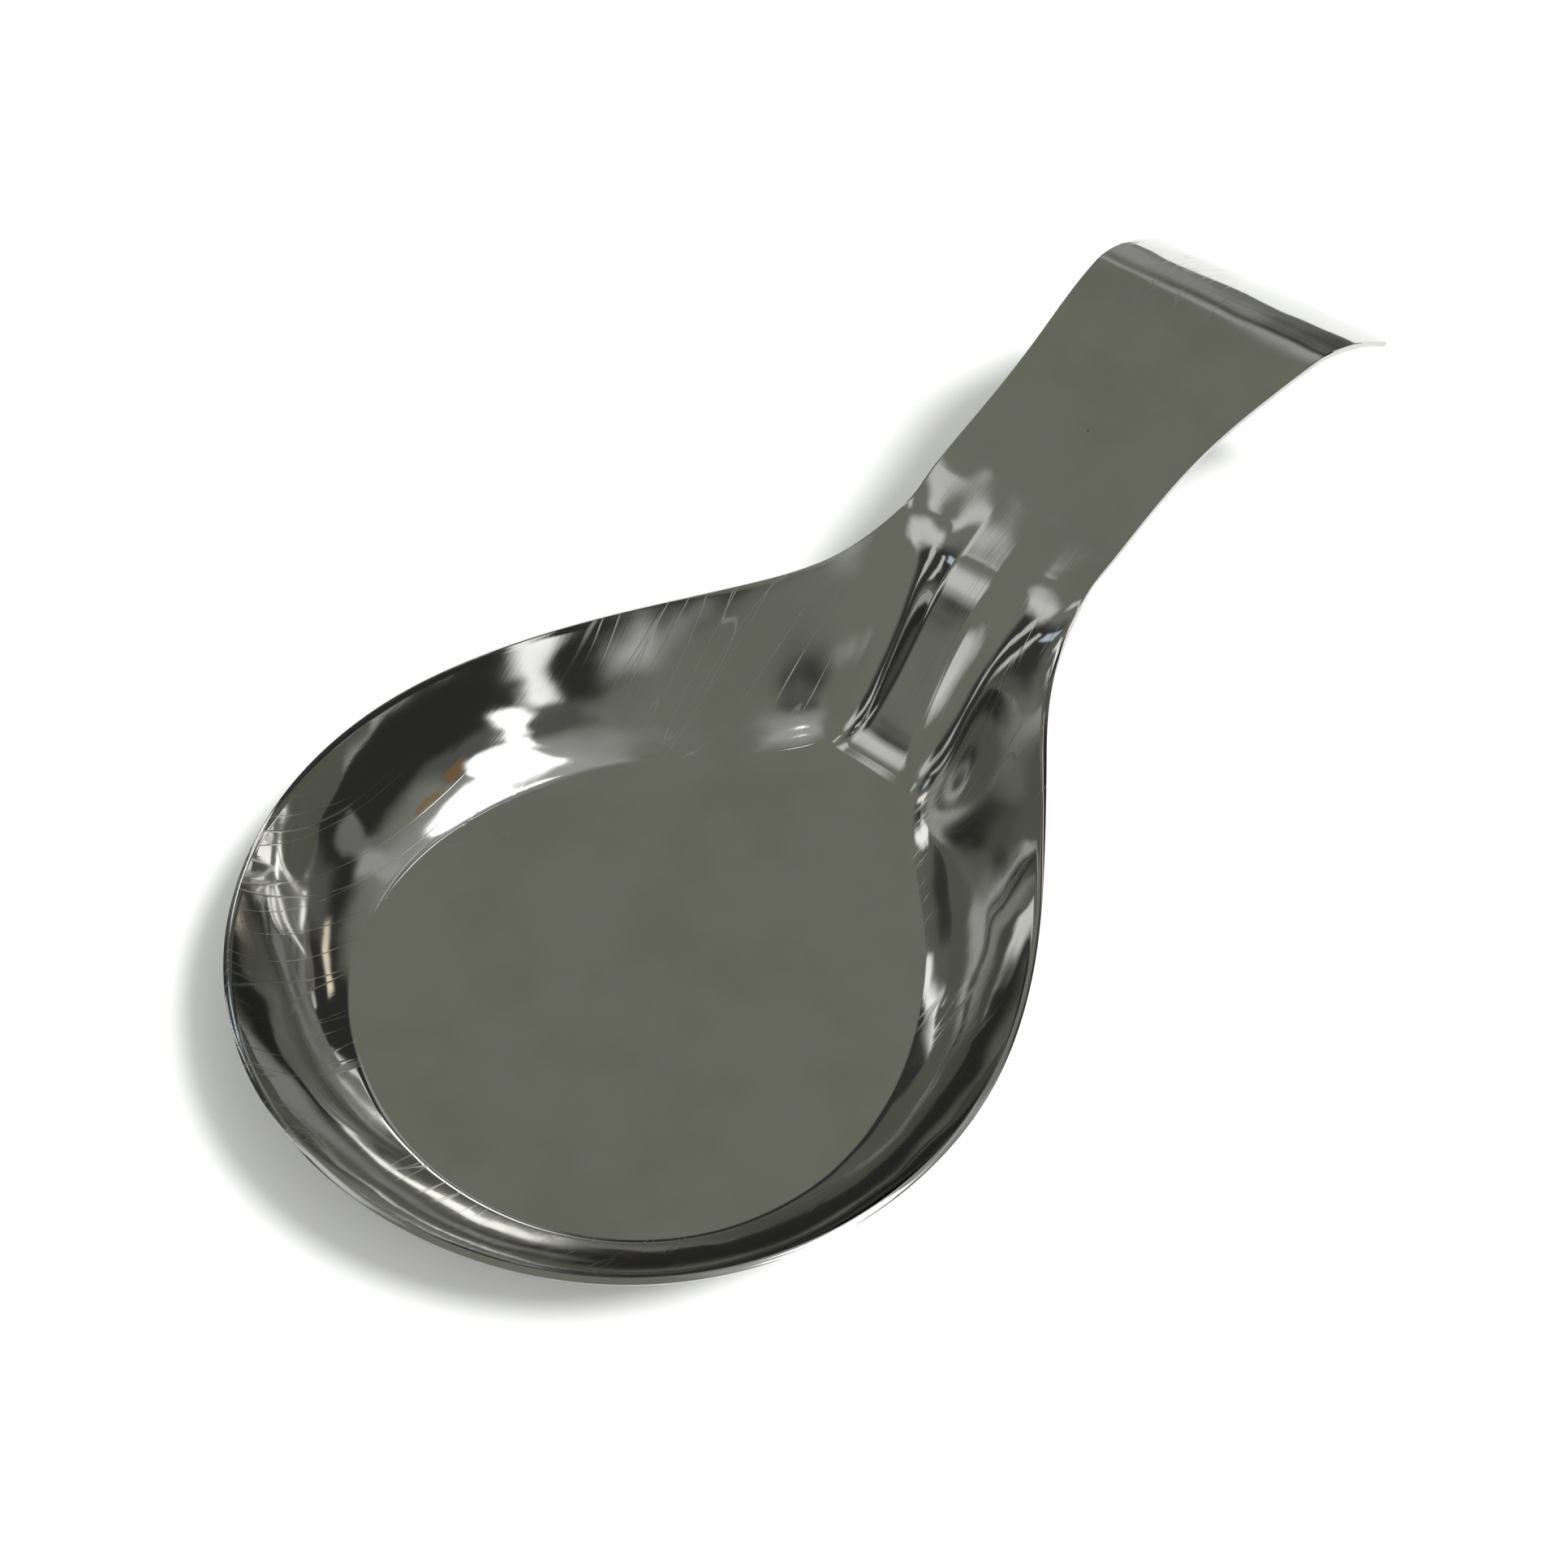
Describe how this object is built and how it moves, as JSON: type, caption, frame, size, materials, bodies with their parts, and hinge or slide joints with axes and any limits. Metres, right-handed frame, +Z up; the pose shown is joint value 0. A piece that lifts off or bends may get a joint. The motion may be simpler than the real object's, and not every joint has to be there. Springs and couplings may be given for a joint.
{
  "type": "spoon rest",
  "caption": "Pressed stainless spoon rest: a flat-floored teardrop bowl whose wall runs up a ramp and over a brow into a flared handle with a bent-down end.",
  "frame": {"origin": "on the surface that the rest stands on, below the middle of its bounding box", "axes": "+X from the bowl to the handle's end, +Z up, and +Y to the left when looking along +X"},
  "size_m": [0.2544, 0.1314, 0.047],
  "materials": {
    "polished_stainless": "polished stainless sheet, lightly worn by use"
  },
  "bodies": {
    "root": {"pressed_body": "polished_stainless"}
  },
  "joints": []
}
